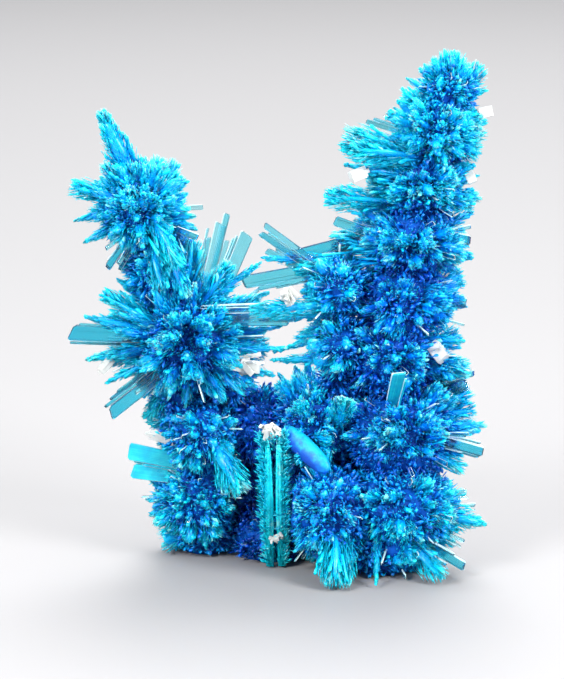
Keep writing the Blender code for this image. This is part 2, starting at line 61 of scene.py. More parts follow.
# The hearts, each the middle of a ball of crystals:
# node, middle (right, up, away), radii between the points (x, y, z), radii to the points, facet level,
# upward tilt of the points, tone from navy at -1 through deep blue at 0 to bright cyan at 1
# A tone below 0 darkens a ball towards navy: painted shade for the balls that lie in shaded hollows.
HEARTS = tuple(Heart(*row) for row in (
    (BASE, (11.8, 12.9, -1.0), (5.4, 5.4, 5.4), (8.0, 7.8, 7.2), 2, 0.1, 0.2),
    (BASE, (11.8, 5.6, -2.6), (5.8, 5.4, 4.8), (8.0, 7.8, 6.4), 2, 0.0, 0.8),
    (BASE, (5.0, 5.2, -3.6), (4.6, 4.6, 4.6), (6.4, 6.6, 6.4), 2, 0.0, 0.4),
    (BASE, (3.4, 13.6, 1.2), (4.4, 4.4, 4.6), (5.8, 6.4, 6.4), 2, 0.1, 0.5),
    (BASE, (6.4, 8.0, 4.2), (5.4, 4.6, 5.6), (7.2, 6.6, 7.2), 1, 0.0, -0.5),
    (BASE, (-1.2, 7.4, 4.8), (4.6, 4.2, 5.6), (6.0, 6.0, 7.0), 1, 0.0, -0.7),
    (BASE, (-8.6, 6.4, 3.2), (4.0, 4.2, 4.8), (5.8, 6.0, 6.4), 2, 0.0, 0.8),
    (BASE, (-8.0, 13.0, 2.0), (3.9, 4.0, 4.2), (5.9, 6.0, 5.4), 2, 0.1, 0.65),
    (BASE, (-2.4, 13.8, 2.4), (3.2, 3.4, 3.8), (4.8, 4.8, 5.0), 1, 0.0, -0.4),
    (BASE, (-7.8, 3.0, 4.4), (3.8, 3.4, 3.4), (5.2, 4.8, 4.4), 1, 0.0, 0.8),
    (BASE, (-0.8, 2.2, 2.6), (4.3, 4.4, 3.6), (5.4, 5.0, 4.6), 1, 0.0, -0.7),
    (BASE, (10.4, 2.0, -1.6), (5.8, 5.6, 3.6), (7.0, 6.8, 4.4), 1, 0.0, 0.8),
    (LEFT, (-9.4, 22.4, 1.0), (4.8, 4.5, 5.0), (9.0, 7.8, 8.4), 2, 0.0, 0.45),
    (LEFT, (-12.2, 29.8, 1.5), (2.9, 2.8, 4.6), (4.2, 4.1, 5.2), 1, 0.0, 0.8),
    (LEFT, (-14.2, 35.2, 1.5), (3.2, 3.1, 3.7), (6.1, 5.6, 5.9), 2, 0.1, 0.6),
    (RIGHT, (11.0, 20.6, 0.0), (4.6, 4.3, 4.4), (7.6, 7.0, 6.0), 2, 0.1, 0.0),
    (RIGHT, (6.0, 22.0, -0.8), (2.6, 2.8, 2.8), (4.8, 4.8, 4.4), 1, 0.0, 0.5),
    (RIGHT, (12.0, 26.4, 0.2), (4.1, 4.0, 4.2), (7.1, 6.7, 6.0), 2, 0.12, -0.1),
    (RIGHT, (5.6, 27.6, -0.4), (2.8, 2.8, 3.0), (5.2, 4.8, 4.8), 1, 0.0, 0.6),
    (RIGHT, (12.9, 32.0, 0.4), (3.8, 3.8, 4.0), (6.7, 6.4, 5.8), 2, 0.15, 0.1),
    (RIGHT, (14.0, 37.4, 0.5), (3.4, 3.5, 3.8), (6.3, 6.0, 5.4), 2, 0.15, 0.5),
    (RIGHT, (15.2, 42.6, 0.5), (3.0, 3.1, 3.6), (5.6, 5.4, 5.0), 2, 0.15, 0.65),
    (RIGHT, (16.4, 46.8, 0.5), (2.2, 2.3, 2.6), (3.7, 3.9, 3.7), 1, 0.15, 0.9),
))

# Crystals that the photograph shows one by one. Sprays:
# form, root (right, up, away), tip (right, up, away), width, thickness, tone
LEFT_SPRAYS = (
    ("spire", (-14.0, 36.4, 1.4), (-18.0, 45.2, 0.8), 4.0, 2.8, 0.6),
    ("fan", (-14.6, 36.2, 1.0), (-21.2, 37.6, 0.4), 2.6, 1.6, 0.8),
    ("spike", (-14.6, 35.8, 1.0), (-20.8, 34.2, 0.4), 1.9, 1.4, 0.6),
    ("spike", (-14.4, 35.0, 1.0), (-19.9, 32.0, 0.6), 1.7, 1.3, 0.6),
    ("fan", (-14.0, 36.0, 1.0), (-11.8, 40.6, 1.0), 2.4, 1.6, 0.75),
    ("spike", (-14.0, 35.8, 0.8), (-9.1, 38.2, 0.2), 1.8, 1.3, 0.6),
    ("spike", (-14.0, 34.8, 0.6), (-8.6, 33.8, 0.0), 1.6, 1.2, 0.5),
    ("fan", (-13.4, 35.4, -0.4), (-9.9, 29.3, -4.4), 2.6, 1.4, 1.0),
    ("fan", (-13.4, 35.8, 0.2), (-12.8, 36.6, -4.2), 2.2, 1.4, 0.8),
    ("fan", (-12.8, 32.0, -1.2), (-11.8, 27.2, -3.6), 2.4, 1.2, 0.8),
    ("fan", (-11.0, 31.0, -1.2), (-9.4, 26.4, -3.8), 2.2, 1.2, 0.7),
    ("fan", (-6.2, 19.6, 0.0), (-3.4, 17.4, -2.4), 2.0, 1.2, 0.6),
    ("fan", (-10.6, 22.8, -0.6), (-18.1, 27.1, -2.0), 2.5, 1.5, 0.95),
    ("spike", (-10.4, 22.2, 0.6), (-19.8, 20.4, 0.4), 2.8, 1.8, 0.75),
    ("spike", (-10.4, 21.6, 0.0), (-17.8, 18.0, -1.0), 1.9, 1.3, 0.85),
    ("fan", (-9.8, 20.4, 1.0), (-13.8, 14.2, 0.8), 2.0, 1.4, 0.95),
    ("spike", (-10.0, 24.0, 0.6), (-16.6, 28.6, 0.6), 2.6, 1.8, 0.5),
    ("spike", (-8.6, 25.6, -0.8), (-1.9, 30.2, -1.6), 2.0, 1.4, 0.8),
    ("spike", (-7.6, 22.4, 0.0), (0.1, 23.8, 0.2), 1.6, 1.2, 0.45),
    ("spike", (-8.0, 24.6, 0.4), (-1.2, 27.2, 0.6), 2.2, 1.6, 0.6),
    ("spike", (-7.8, 20.6, -0.4), (-0.6, 18.8, -1.6), 2.4, 1.8, 0.45),
    ("fan", (-9.4, 24.0, -0.4), (-5.0, 30.2, -2.4), 2.6, 1.6, 0.6),
    ("fan", (-9.8, 26.0, 0.6), (-8.8, 32.6, 0.4), 3.0, 1.8, 0.6),
    ("spike", (-10.6, 22.6, -0.4), (-19.8, 24.8, -0.6), 2.8, 1.8, 0.5),
    ("spike", (-7.6, 21.4, -0.8), (0.6, 21.6, -1.6), 1.5, 1.0, 0.45),
    ("fan", (-8.6, 23.4, -1.6), (-7.4, 24.0, -7.0), 2.4, 1.5, 0.35),
    ("fan", (-10.2, 22.8, -1.4), (-11.2, 22.6, -7.2), 2.2, 1.5, 0.6),
    ("fan", (-9.2, 20.6, -1.4), (-8.8, 18.6, -7.0), 2.2, 1.5, 0.45),
)
BASE_SPRAYS = (
    ("spike", (-8.8, 6.4, 3.0), (-13.6, 8.2, 2.0), 1.7, 1.3, 0.5),
    ("spike", (-8.8, 5.4, 3.4), (-13.2, 5.6, 2.6), 1.8, 1.3, 0.5),
    ("spike", (-8.8, 4.8, 3.6), (-11.6, 3.0, 3.2), 1.6, 1.3, 0.6),
    ("fan", (-8.0, 14.4, 0.4), (-3.9, 6.9, -5.2), 3.8, 1.8, 1.0),
    ("spike", (-0.8, 8.0, 2.4), (-0.8, 8.4, -2.6), 2.4, 1.8, 0.35),
    ("spike", (-0.6, 4.6, 2.4), (-0.6, 3.4, -2.4), 2.2, 1.8, 0.3),
    ("tuft", (3.0, 14.2, -1.0), (1.5, 16.4, -4.6), 2.8, 1.8, 1.0),
    ("fan", (3.6, 11.6, -2.0), (1.2, 10.4, -5.2), 1.8, 1.2, 0.4),
    ("fan", (3.0, 12.4, -2.0), (4.8, 12.8, -5.4), 2.2, 1.2, 0.6),
    ("fan", (4.8, 8.0, -4.0), (3.4, 7.8, -7.6), 1.8, 1.4, 0.3),
    ("fan", (5.4, 13.6, -2.0), (6.2, 16.8, -6.4), 3.0, 1.6, 0.95),
    ("spike", (11.4, 12.9, -3.0), (10.4, 13.6, -9.4), 3.8, 3.0, 0.2),
    ("spike", (13.0, 12.6, -2.4), (16.4, 13.2, -8.0), 3.4, 2.6, 0.2),
    ("spike", (13.2, 13.6, -2.0), (20.5, 13.9, -2.8), 2.6, 1.8, 0.2),
    ("fan", (13.2, 11.6, -3.0), (18.4, 9.5, -5.2), 2.0, 1.4, 0.2),
    ("spike", (12.8, 5.6, -3.4), (20.5, 4.0, -4.6), 3.6, 2.4, 0.85),
    ("spike", (12.8, 4.4, -3.6), (17.4, 2.2, -4.6), 1.3, 1.0, 0.65),
    ("fan", (11.8, 3.6, -5.4), (16.0, -1.4, -9.0), 3.0, 1.8, 0.9),
    ("spike", (9.6, 3.4, -6.0), (9.2, -1.8, -10.0), 1.2, 1.0, 0.65),
    ("fan", (5.6, 4.4, -6.0), (5.2, -2.0, -11.2), 4.2, 2.2, 0.95),
    ("fan", (12.8, 13.6, -0.4), (19.0, 17.6, -1.6), 2.8, 1.8, 0.2),
    ("fan", (12.8, 14.6, -1.0), (19.6, 15.4, -1.6), 2.8, 1.8, 0.2),
)
RIGHT_SPRAYS = (
    ("spike", (9.6, 20.8, -1.0), (-1.3, 20.4, -0.2), 1.8, 1.2, 0.85),
    ("spike", (8.0, 23.6, -0.8), (-1.0, 21.2, -0.6), 1.7, 1.1, 0.85),
    ("fan", (6.4, 24.4, -1.2), (1.0, 22.2, -1.8), 1.8, 1.1, 0.9),
    ("spike", (9.4, 25.2, -0.8), (-2.4, 24.4, -1.8), 1.8, 1.1, 0.8),
    ("fan", (9.8, 26.4, -0.8), (-3.4, 25.2, -4.6), 2.4, 1.3, 0.85),
    ("spike", (9.8, 28.0, -0.4), (1.8, 27.0, -1.2), 2.0, 1.4, 0.6),
    ("arm", (11.2, 30.4, -0.2), (1.0, 29.4, -1.0), 3.6, 2.6, 0.6),
    ("spike", (3.4, 29.0, -1.0), (2.6, 25.6, -2.4), 1.6, 1.2, 0.6),
    ("spike", (6.0, 30.0, -0.4), (-2.2, 30.6, -0.6), 2.0, 1.4, 0.6),
    ("fan", (11.0, 32.4, 0.4), (4.6, 32.0, 0.2), 3.2, 1.8, 0.6),
    ("fan", (12.2, 36.0, -0.6), (4.0, 36.5, -1.6), 3.0, 1.5, 0.95),
    ("fan", (13.4, 40.0, -1.2), (5.6, 42.2, -3.2), 4.2, 1.8, 1.0),
    ("fan", (13.0, 40.4, -2.0), (6.4, 41.0, -4.0), 3.4, 1.4, 1.0),
    ("spike", (14.4, 42.6, 0.2), (10.2, 44.8, 0.0), 1.6, 1.2, 0.65),
    ("fan", (15.2, 44.6, -0.2), (11.6, 46.8, -1.0), 2.4, 1.5, 0.9),
    ("spike", (16.0, 46.0, 0.2), (12.1, 48.2, -0.2), 1.6, 1.2, 0.9),
    ("spike", (16.2, 46.4, 0.4), (13.9, 49.6, 0.2), 1.8, 1.4, 0.9),
    ("fan", (16.4, 46.0, 0.2), (16.8, 51.0, -0.4), 3.0, 1.8, 0.9),
    ("spike", (16.0, 44.0, 0.2), (20.2, 44.9, -0.3), 2.0, 1.5, 0.9),
    ("spike", (13.6, 38.2, -1.0), (6.0, 39.6, -2.5), 2.0, 1.5, 0.8),
    ("fan", (16.6, 45.6, 0.6), (19.8, 49.6, 0.6), 2.6, 1.4, 0.6),
    ("spike", (16.4, 46.2, 0.2), (20.3, 47.0, 0.2), 1.6, 1.2, 0.9),
    ("fan", (15.6, 42.6, 0.2), (20.4, 42.7, -0.2), 1.8, 1.3, 0.65),
    ("spike", (14.8, 39.6, 0.2), (19.2, 39.6, -0.4), 1.8, 1.4, 0.65),
    ("fan", (14.0, 36.4, 0.0), (19.2, 35.8, -0.6), 2.6, 1.6, 0.75),
    ("fan", (13.0, 32.0, -0.4), (18.2, 30.6, -0.8), 2.4, 1.4, 0.8),
    ("fan", (15.4, 44.2, -0.2), (19.9, 44.0, -0.8), 2.0, 1.2, 0.8),
    ("spike", (12.4, 27.0, 0.2), (18.4, 25.8, -0.4), 1.6, 1.2, 0.3),
    ("spike", (11.8, 22.6, -0.4), (18.3, 22.3, -1.4), 2.4, 1.8, 0.35),
    ("fan", (12.0, 19.8, -1.0), (18.9, 19.6, -2.4), 2.8, 1.8, 0.35),
)
# See-through blades, and the base's cloudy plates: root, tip, width, thickness
LEFT_BLADES = (
    ((-13.0, 35.3, 0.2), (-7.8, 35.6, -0.2), 0.5, 0.4),
    ((-13.6, 34.4, 0.4), (-8.4, 32.3, -0.4), 1.2, 0.6),
    ((-14.2, 33.6, 1.0), (-17.1, 29.2, 0.6), 1.5, 0.9),
    ((-11.6, 22.6, 0.2), (-21.5, 23.1, -0.2), 1.8, 0.9),
    ((-10.2, 20.8, -0.4), (-17.6, 15.1, -1.2), 1.8, 1.0),
    ((-8.4, 25.4, 0.8), (-6.3, 34.2, 0.6), 1.6, 0.6),
    ((-7.6, 25.6, 1.6), (-5.2, 35.0, 1.6), 1.1, 0.6),
    ((-7.0, 25.2, 0.6), (-3.6, 33.2, 0.2), 1.7, 0.6),
    ((-8.0, 24.8, -1.6), (1.3, 24.9, -3.0), 2.1, 0.7),
)
BASE_BLADES = (
    ((13.4, 13.2, -2.6), (20.1, 11.3, -3.6), 1.5, 0.9),
    ((14.0, 17.6, -1.0), (19.1, 19.6, -1.6), 1.4, 0.8),
    ((14.0, 17.0, -1.2), (18.6, 18.0, -2.2), 1.2, 0.8),
    ((12.4, 3.0, -5.0), (18.1, -0.3, -7.0), 1.4, 1.0),
)
RIGHT_BLADES = (
    ((4.8, 28.6, -1.0), (-2.1, 33.5, -0.8), 1.4, 0.7),
    ((4.4, 28.8, -0.2), (-1.6, 31.4, 0.2), 1.3, 0.7),
    ((5.0, 29.6, -0.6), (-4.0, 27.9, 0.4), 1.7, 0.6),
    ((10.4, 33.0, 0.2), (0.8, 30.4, -0.2), 1.5, 0.7),
    ((11.4, 32.2, 0.0), (5.2, 34.4, -0.4), 1.2, 0.6),
    ((13.8, 42.4, 0.0), (8.3, 44.1, -0.2), 0.8, 0.6),
    ((13.2, 33.0, 0.2), (18.7, 31.8, 0.0), 1.9, 0.9),
    ((12.6, 26.0, 0.0), (18.5, 26.4, -0.4), 1.4, 0.6),
)
PLATES = (
    ((-9.0, 9.8, 1.2), (-15.6, 11.2, 0.2), 1.8, 1.1),
    ((-9.2, 8.4, 1.4), (-15.3, 9.3, 0.4), 1.5, 1.2),
    ((10.8, 15.4, -3.6), (11.5, 19.2, -8.0), 1.4, 0.7),
)
SPRAYS = {LEFT: LEFT_SPRAYS, BASE: BASE_SPRAYS, RIGHT: RIGHT_SPRAYS}
BLADES = {LEFT: LEFT_BLADES, BASE: BASE_BLADES, RIGHT: RIGHT_BLADES}

# Balls where the hearts of two nodes leave a gap: node, middle, radii, tone.
FILLING = (
    (RIGHT, (15.4, 18.2, 0.8), (2.4, 2.2, 2.4), 0.35),
    (BASE, (6.6, 18.0, 1.2), (2.4, 2.4, 2.6), 0.35),
    (BASE, (-10.4, 16.4, 2.2), (2.4, 2.0, 2.4), 0.5),
    (LEFT, (-5.4, 18.8, 0.8), (2.2, 2.0, 2.4), 0.3),
)
HEART_SHARE = 0.9  # the dark hearts' size, as a share of the radii between the points
LUMPS_TO_MM, LUMP_HEIGHT = 0.9, 0.6
HEART_VOXEL = 0.36 * MM
POINT_RANGE = (0.72, 1.06)  # of a heart's points, as a share of its radii to them
POINT_LEAN = 0.12  # how far a point leans off the line from the heart's centre
POINT_FLOOR = 0.3  # a spray's tip is at least this far above the surface, in mm
CROWDED = 0.9  # a point this far into another heart's points has no spray of its own
ROOT_DEPTH = 0.72  # how far out in its heart a crystal starts
ROOT_STEPS = 20  # along a chosen crystal, in which that place is looked for
LOWEST = 0.12  # both ends of a blade are above this, in mm

# One fine blade: its ends, width and thickness in mm, its shade at the root (low) and at the tip (high),
# from navy at 0 to the palest cyan at 1, its tone as above, and its kind, which is its shape.
# The shade is painted light and shade: darker roots stand for the shade deep in the sprays, paler tips for
# the light on them.
BLADE = np.dtype([("root", "3f8"), ("tip", "3f8"), ("width", "f8"), ("thick", "f8"), ("low", "f8"),
                  ("high", "f8"), ("tone", "f8"), ("kind", "i4")])
FINE, STOUT, CORE = range(3)
STOUT_WIDTH = 0.3  # blades wider than this have a shoulder at both ends
POINT_SHIFT = 0.45  # how far to one side a blade's point may be, as a share of its width
PIECE_TRIANGLES = 190_000

# Each form's width and thickness along it, as shares: (of the length, of the width, of the thickness).
FORMS = {
    "spire": ((0, 0.7, 0.8), (0.3, 1, 1), (0.62, 0.68, 0.6), (1, 0.26, 0.3)),
    "spike": ((0, 0.8, 0.9), (0.45, 1, 1), (1, 0.1, 0.1)),
    "fan": ((0, 0.5, 0.8), (0.78, 1, 1), (1, 0.62, 0.4)),
    "tuft": ((0, 0.4, 0.5), (0.7, 1, 1), (1, 0.5, 0.5)),
    "arm": ((0, 1, 1), (0.6, 0.8, 0.8), (1, 0.5, 0.6)),
    "burst": ((0, 0.5, 0.5), (0.6, 1, 1), (1, 0.25, 0.25)),
}
# How each form's fine blades lie: how many to the square mm of its outline, their lean in degrees, length
# and width, the share of them at its two edges, and the core crystal's share of its width.
LAY = {
    "spire": (26, (12, 34), (0.6, 1.6), (0.09, 0.22), 0.45, 0.5),
    "spike": (21, (6, 22), (0.9, 2.7), (0.08, 0.24), 0.2, 0.42),
    "fan": (22, (8, 26), (0.9, 2.7), (0.08, 0.22), 0.4, 0.42),
    "tuft": (22, (10, 42), (0.6, 2), (0.08, 0.18), 0, 0.3),
    "arm": (9, (2, 9), (2, 5), (0.14, 0.34), 0.2, 0.3),
    "burst": (14, (6, 26), (0.9, 2.8), (0.08, 0.24), 0, 0.38),
}
# The sprays on the points of a heart: their width by its facet level, their forms, each with its share of
# that width, and the chance of each form.
BURST_WIDTH = {1: 3.6, 2: 2.7}
BURSTS = (("burst", 1), ("spike", 0.8), ("fan", 1.15), ("tuft", 1))
BURST_CHANCES = (0.35, 0.35, 0.2, 0.1)
SPRAY_START = 0.12  # where along a spray its first blades end
TIP_CROWDING = 1.3  # above 1, more of its blades end near its tip
EDGE_SCATTER = 0.4  # of the blades at an edge, in radians round the axis
LEAN_RANGE = (0.6, 1.3)  # of one spray, as a share of its form's lean
WAY_SCATTER = (0.05, 0.16)  # how untidily the blades of one spray lie
LENGTH_RANGE = (0.8, 1.3)  # of the blades of one spray, as a share of its form's
# A few fine blades are painted glints: a paler shade, towards near-white cyan.
GLINTS, GLINT_SHADE = 0.035, 0.35  # of the fine blades are paler, by so much
CHUNKS, CHUNK_EXTRA = 0.07, (0.1, 0.3)  # of them are wider, by so many mm
# Painted light and shade: blades are paler towards a spray's tip and its outside, darker towards its root
# and axis.
SHADE, SHADE_ALONG, SHADE_OUTWARD = 0.56, 0.38, 0.15  # brighter along a spray and away from its axis
PAINTED_HOLLOW_SHADE = 0.6  # how much darker a spray with a tone of -1 is
# The painted shade of a negative tone is kept to the front of a ball; its sprays that point away take this
# tone.
BACK_TONE = 0.4  # of the sprays at the back of a ball that is navy in front
DRUSE_DENSITY = 9  # short blades to the square mm of a heart
DRUSE_DEPTH = 0.95  # where they root, as a share of the dark heart
FLATNESS = (0.4, 0.8)  # thickness of a short blade or a bristle, as a share of its width

# The upright pillar: its root and tip, and two corners of what is kept clear before it.
PILLAR = ((-0.6, -0.35, -2.6), (-0.9, 13.0, -3.8))
PILLAR_CLEARING = ((-2.6, -14.0, 0.0), (1.0, -3.2, 14.6))
PILLAR_WIDTH = 2.2
# The crystals of each half, as shares: how far from the seam, how wide and how long.
PILLAR_HALF = ((0.18, 0.3, 0.98), (0.27, 0.36, 1.04), (0.36, 0.3, 0.95))
PILLAR_GIRTH = ((0, 0.25, 0.35, 1), (0.7, 0.75, 1, 1))  # places along it, and its girth there
BRISTLES = 2400
BRISTLE_ROOTS = (0.4, 0.26)  # from its axis sideways and to the front, as shares of its width
BRISTLE_EDGES, BRISTLE_SCATTER = 0.4, 0.5  # the share at its two edges, and how closely
FRONT_REACH, SIDE_REACH = 0.7, 1.1
FRONT_SINE = 0.45  # beyond this a bristle is on the front or the back
BARE_HEIGHT, BARE_SHARE = 0.93, 0.85  # up to there the front lacks this share of them

# The smooth oval crystal: its root and tip, its size, how far along its half length it stays full, and how
# boxy it is, where 2 is round.
OVAL = ((0.2, 13.6, -2.4), (4.6, 9.4, -6.0))
OVAL_WIDTH, OVAL_THICKNESS = 2.1, 1.5
OVAL_FULL = 0.1
OVAL_BOXY = 2.4
OVAL_RINGS, OVAL_SIDES = 18, 20

CLEAR_CHAMFER = 0.06  # the bevel along a clear blade's edges, in mm
# Rings along a clear blade: share of its length, how much of its thickness they stop short of that, and
# shares of its width and thickness.
CLEAR_RINGS = ((0, 0.4, 0.8, 0.8), (0.5, 0.4, 0.95, 0.95), (1, 0.4, 1, 1), (1, 0, 0.72, 0.25))
FROSTED_GLINT_FACES = (1, 2, 3, 7)  # of the eight along a blade
BLADE_LATH, PLATE_LATH = 0.5, 0.7  # about the width of the laths that they are made of
LATH_SPREAD = 0.12  # how much the laths of a crystal fan out
CLEAR_TEETH = 0.4  # small clear blades on a heart, for each square mm of its squared radii

# The white crystals: last word of the node's name, root, tip, width.
WHITE = (
    ("top", (19.3, 44.7, -0.3), (20.8, 45.0, -0.4), 0.95),
    ("upper", (8.3, 39.0, -2.2), (6.6, 38.3, -3.2), 1.1),
    ("side", (18.3, 39.3, -0.5), (18.8, 37.8, -1.0), 0.9),
    ("bridge", (0.8, 25.8, -3.6), (0.2, 27.3, -4.2), 1.3),
    ("shoulder", (14.8, 22.0, -1.6), (16.2, 20.4, -3.0), 1.3),
    ("fork", (-6.0, 20.4, -0.8), (-2.0, 19.6, -2.2), 1.6),
    ("edge", (-17.0, 20.6, 0.0), (-18.2, 19.2, -0.6), 0.9),
    ("pillar", (-1.0, 12.8, -3.6), (-1.4, 13.9, -4.6), 1.4),
    ("foot", (-0.6, 2.8, -3.0), (-0.5, 2.3, -4.0), 0.9),
    ("left", (-10.8, 12.4, 1.2), (-14.0, 13.0, 0.6), 1.2),
)
POINTED = ("left",)
CLUSTERED = ("bridge", "fork", "pillar", "foot")
# Stepped blocks beside the main one: how many, the scale of all, how far they spread, as a share of the
# width, and turn, in radians.
PLAIN_BLOCKS = (5, 1, 0.35, 0.1)
CLUSTER_BLOCKS = (15, 0.62, 0.65, 0.7)
MAIN_BLOCK = (1, 0.9)  # its share of the width and of the length
STEP_WIDTH, STEP_LENGTH = (0.3, 0.6), (0.3, 0.8)
MAIN_TURN = 0.1
WHITE_FLATNESS = 0.6
POINT_SIZE = 0.25  # of a pointed crystal's end

PENTAGONITE_IOR = 1.55
CLEAR_COLOUR = (0, 0.84, 0.93)
STREAKS = 7  # along a flat crystal, to each mm of its width
ACROSS_SHARE = 0.3  # of the oval crystal's colour, from blue to cyan, follows its width
# Colours are linear. Those of the sprays go from the root of a blade to its tip.
# In the spray ramps the navy end is painted shade for roots and gaps, the palest end painted light and
# glints on the tips.
DEEP_BLUE = ((0, (0, 0.012, 0.12)), (0.25, (0, 0.08, 0.6)), (0.55, (0, 0.24, 0.96)),
             (0.85, (0, 0.46, 1)), (0.95, (0.01, 0.66, 1)), (1, (0.18, 0.88, 1)))
BRIGHT_CYAN = ((0, (0, 0.03, 0.2)), (0.25, (0, 0.24, 0.8)), (0.55, (0, 0.5, 1)),
               (0.85, (0, 0.72, 1)), (0.95, (0.01, 0.83, 1)), (1, (0.2, 0.93, 1)))
# Deep navy of the hearts: painted shade for the gaps between the sprays.
HEART_SHADE_BLUES = ((0.3, (0, 0.02, 0.16)), (0.7, (0, 0.09, 0.45)))
GLASSY_BLUES = ((0.34, (0, 0.08, 0.55)), (0.52, (0, 0.2, 0.8)), (0.68, (0, 0.5, 0.85)))
PLATE_BLUES = ((0.3, (0, 0.3, 0.55)), (0.5, (0, 0.5, 0.66)), (0.7, (0.02, 0.72, 0.78)))
# Pale edge colour: painted glints along the see-through blades' edges, on a frosted finish.
EDGE_GLINT_WHITES = ((0.3, (0.4, 0.85, 0.9)), (0.65, (0.85, 0.97, 1)))
WHITES = ((0.3, (0.48, 0.5, 0.48)), (0.7, (0.68, 0.7, 0.68)))
COLOUR_A, COLOUR_B, MIXED_COLOUR = 6, 7, 2  # the numbers of a Mix node's colour sockets

CAMERA_DISTANCE, CAMERA_AIM = 302, 22.95  # in mm; the second is the height it looks at
FLOOR_COLOUR = (0.25, 0.246, 0.25)
FLOOR_GAP = 0.02 * MM
WORLD_COLOUR = (0.55, 0.57, 0.6)
LIGHT_AIM = (0, 0, 0.024)
# Lights: name, place in metres, size, power in watts.
LIGHTS = (
    ("key_left", (-0.24, -0.28, 0.26), 0.16, 2.6),
    ("key_right", (0.28, -0.22, 0.2), 0.16, 2.4),
    ("back", (0.05, 0.4, 0.55), 0.4, 5.0),
    ("overhead", (0.0, 0.3, 1.3), 1.8, 30.0),
)


def seen(right, up, away):
    """The point in the frame, in mm, that is seen this far right of, above and behind the origin."""
    return Vector((right, away, (up - away * math.sin(VIEW_ELEVATION)) / math.cos(VIEW_ELEVATION)))


def inside(point, centre, radii):
    """How far out a point is in an ellipsoid: 0 at its centre, 1 on its surface."""
    return Vector((a / b for a, b in zip(point - centre, radii))).length


def unit(vectors):
    """Many vectors, each made one long."""
    return vectors / np.maximum(np.linalg.norm(vectors, axis=1, keepdims=True), 1e-9)


def placing(root, tip):
    """The axis, side and front of a crystal: its side square to the view, its front to the viewer."""
    axis = (tip - root).normalized()
    side = axis.cross(Vector((0, 1, 0)))
    if side.length < 0.3:
        side = axis.cross(Vector((0, 0, 1)))
    side.normalize()
    return axis, side, axis.cross(side)


def new_object(name, data):
    """An object in the scene."""
    made = bpy.data.objects.new(name, data)
    bpy.context.scene.collection.objects.link(made)
    return made


def mesh_object(name, bm):
    """A mesh object in the scene from a bmesh."""
    mesh = bpy.data.meshes.new(name)
    bm.to_mesh(mesh)
    bm.free()
    return new_object(name, mesh)


def join_rings(bm, rings):
    """The faces between each ring of vertices and the next, each with its place round the ring."""
    made = []
    for low, high in zip(rings, rings[1:]):
        for i in range(len(low)):
            j = (i + 1) % len(low)
            made.append((i, bm.faces.new((low[i], low[j], high[j], high[i]))))
    return made


def hearts_of(node):
    """The hearts of a node, each with its number."""
    return [(i, heart) for i, heart in enumerate(HEARTS) if heart.node == node]


def balls_of(node):
    """The hearts and the filling of a node, as (middle, radii between the points, tone)."""
    hearts = [(heart.middle, heart.core, heart.tone) for _, heart in hearts_of(node)]
    return hearts + [row[1:] for row in FILLING if row[0] == node]


def fused_hearts(node):
    """The middle of a node: its hearts joined into one dark, lumpy skin, cut flat where the piece rests."""
    bm = bmesh.new()
    for middle, core, _ in balls_of(node):
        centre = seen(*middle)
        matrix = Matrix.Translation(centre) @ Matrix.Diagonal((*core, 1))
        ball = bmesh.ops.create_icosphere(bm, subdivisions=4, radius=HEART_SHARE, matrix=matrix)
        for v in ball["verts"]:
            lump = noise.noise(v.co * LUMPS_TO_MM) * LUMP_HEIGHT
            v.co += (v.co - centre).normalized() * lump
    bmesh.ops.scale(bm, vec=(MM,) * 3, verts=bm.verts)
    made = mesh_object(node + "_hearts", bm)
    remesh = made.modifiers.new("Skin", "REMESH")
    remesh.mode = "VOXEL"
    remesh.voxel_size = HEART_VOXEL
    bm = bmesh.new()
    bm.from_object(made, bpy.context.evaluated_depsgraph_get())
    made.modifiers.clear()
    cut = bmesh.ops.bisect_plane(bm, geom=bm.verts[:] + bm.edges[:] + bm.faces[:], dist=1e-7,
                                 plane_co=(0, 0, 0), plane_no=(0, 0, 1), clear_inner=True)
    rim = [e for e in cut["geom_cut"] if isinstance(e, bmesh.types.BMEdge)]
    if rim:
        bmesh.ops.contextual_create(bm, geom=rim)
    bmesh.ops.triangulate(bm, faces=bm.faces[:])
    bm.to_mesh(made.data)
    bm.free()
    return made


def heart_points(number):
    """The points of a heart that have room, in mm in the frame, as the model draws them from its facets."""
    heart = HEARTS[number]
    centre = seen(*heart.middle)
    chance = random.Random(SEED + number)
    turn = Euler([chance.uniform(0, math.pi) for _ in range(3)]).to_matrix().to_4x4()
    bm = bmesh.new()
    bmesh.ops.create_icosphere(bm, subdivisions=heart.level, radius=1, matrix=turn)
    found = []
    for v in bmesh.ops.poke(bm, faces=bm.faces[:])["verts"]:
        lean = Vector([chance.uniform(-POINT_LEAN, POINT_LEAN) for _ in range(3)])
        point = (v.co.normalized() + lean).normalized() * Vector(heart.reach)
        point *= chance.uniform(*POINT_RANGE)
        point.z += heart.tilt * point.length
        if has_room(number, centre + point):
            found.append(centre + point)
    bm.free()
    return found


def has_room(number, point):
    """Whether a point of this heart is above the surface and clear of the other hearts' points."""
    others = HEARTS[:number] + HEARTS[number + 1:]
    return point.z >= POINT_FLOOR and all(
        inside(point, seen(*heart.middle), heart.reach) >= CROWDED for heart in others)


def outer_root(node, root, tip):
    """The first point from root to tip that isn't deep in a heart of the node."""
    for i in range(ROOT_STEPS):
        point = root.lerp(tip, i / ROOT_STEPS)
        if all(inside(point, seen(*heart.middle), heart.core) >= ROOT_DEPTH for _, heart in hearts_of(node)):
            return point
    return root


def angles_round(chance, count, edges, scatter):
    """Angles round a crystal's axis, a share of them at its two edges."""
    anywhere = chance.uniform(0, 2 * math.pi, count)
    at_edge = chance.random(count) < edges
    edge = chance.integers(0, 2, count) * math.pi + chance.normal(0, scatter, count)
    return np.where(at_edge, edge, anywhere)


def leaning(chance, axis, outward, lean, scatter):
    """Directions that lean outward from an axis, each by its own angle."""
    way = np.outer(np.cos(lean), axis) + unit(outward) * np.sin(lean)[:, None]
    return unit(way + chance.normal(0, scatter, way.shape))


